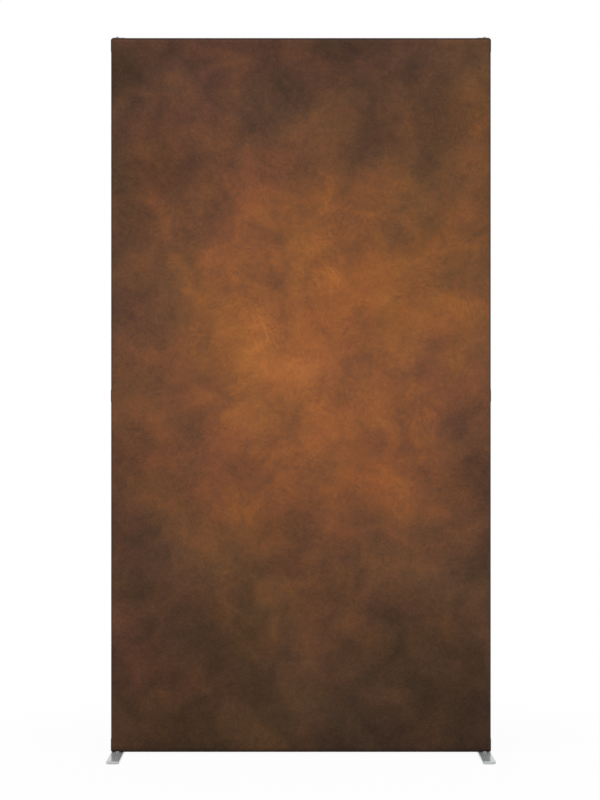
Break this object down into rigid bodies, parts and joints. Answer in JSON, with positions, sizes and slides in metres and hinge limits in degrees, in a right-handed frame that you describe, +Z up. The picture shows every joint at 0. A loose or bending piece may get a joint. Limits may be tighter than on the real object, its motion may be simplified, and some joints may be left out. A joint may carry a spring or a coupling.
{
  "type": "collapsible backdrop panel",
  "caption": "Tall free-standing backdrop panel: a folding tube frame in a printed stretch cover, standing on flat metal feet that turn in line for packing.",
  "frame": {"origin": "on the floor, midway between the feet, under the middle of the panel's thickness", "axes": "+Z up, +X to the right seen from the front; the printed front faces -Y"},
  "size_m": [1.222, 0.4, 2.3082],
  "materials": {
    "tube": "clear anodised, satin",
    "block": "moulded black nylon, fine texture",
    "knuckle": "die cast, tumbled",
    "turned": "turned, bright",
    "steel": "zinc plated",
    "button": "moulded acetal",
    "print": "dye printed stretch cloth, brown mottle",
    "cloth": "black stretch cloth",
    "zinc": "blackened zinc",
    "foot": "silver powder coat, satin",
    "rubber": "matte black"
  },
  "bodies": {
    "lower_half": {"bottom_rail": "tube", "upright_lower_left": "tube", "upright_lower_right": "tube", "corner_block_bottom_left": "block", "corner_block_bottom_right": "block", "knuckle_lower_left": "knuckle", "knuckle_lower_right": "knuckle", "hinge_pin_left": "steel", "hinge_pin_right": "steel", "lock_spring_left": "steel", "lock_spring_right": "steel", "rivet_post_socket_left": "turned", "rivet_post_socket_right": "turned", "rivet_knuckle_lower_left": "turned", "rivet_knuckle_lower_right": "turned", "rivet_bottom_rail_left": "turned", "rivet_bottom_rail_right": "turned", "cover_front_lower": "print", "cover_back_lower": "cloth", "zip_tape": "cloth"},
    "upper_half": {"top_rail": "tube", "upright_upper_left": "tube", "upright_upper_right": "tube", "corner_block_top_left": "block", "corner_block_top_right": "block", "corner_plug_left": "turned", "corner_plug_right": "turned", "corner_screw_left": "steel", "corner_screw_right": "steel", "knuckle_upper_left": "knuckle", "knuckle_upper_right": "knuckle", "rivet_knuckle_upper_left": "turned", "rivet_knuckle_upper_right": "turned", "rivet_corner_plug_left": "turned", "rivet_corner_plug_right": "turned", "rivet_top_rail_left": "turned", "rivet_top_rail_right": "turned", "cover_front_upper": "print", "cover_back_upper": "cloth"},
    "foot_left": {"foot_bar_left": "foot", "foot_post_left": "turned", "foot_screw_left": "steel", "foot_pad_front_left": "rubber", "foot_pad_rear_left": "rubber"},
    "lock_left": {"lock_button_left": "button", "lock_clip_left": "steel"},
    "foot_right": {"foot_bar_right": "foot", "foot_post_right": "turned", "foot_screw_right": "steel", "foot_pad_front_right": "rubber", "foot_pad_rear_right": "rubber"},
    "lock_right": {"lock_button_right": "button", "lock_clip_right": "steel"},
    "slider": {"zip_slider": "zinc"},
    "pull": {"zip_pull": "zinc"}
  },
  "joints": [
    {"name": "fold", "type": "hinge", "parent": "lower_half", "child": "upper_half", "pos_m": [0, 0.0208, 1.1586], "axis": [-1, 0, 0], "range_deg": [0, 175]},
    {"name": "foot_left_turn", "type": "hinge", "parent": "lower_half", "child": "foot_left", "pos_m": [-0.59, 0, 0.0098], "axis": [0, 0, 1], "range_deg": [-90, 90]},
    {"name": "foot_right_turn", "type": "hinge", "parent": "lower_half", "child": "foot_right", "pos_m": [0.59, 0, 0.0098], "axis": [0, 0, 1], "range_deg": [-90, 90]},
    {"name": "lock_left_press", "type": "slide", "parent": "lower_half", "child": "lock_left", "axis": [0, -1, 0], "range_m": [0, 0.003], "stiffness_N_per_m": 600, "springref_m": -0.002, "deforming": ["lock_spring_left"]},
    {"name": "lock_right_press", "type": "slide", "parent": "lower_half", "child": "lock_right", "axis": [0, -1, 0], "range_m": [0, 0.003], "stiffness_N_per_m": 600, "springref_m": -0.002, "deforming": ["lock_spring_right"]},
    {"name": "zip_slide", "type": "slide", "parent": "lower_half", "child": "slider", "axis": [-1, 0, 0], "range_m": [0, 1.056]},
    {"name": "zip_pull_swing", "type": "hinge", "parent": "slider", "child": "pull", "pos_m": [0.528, 0.0243, 0.0501], "axis": [0, 1, 0], "range_deg": [-90, 90]}
  ]
}
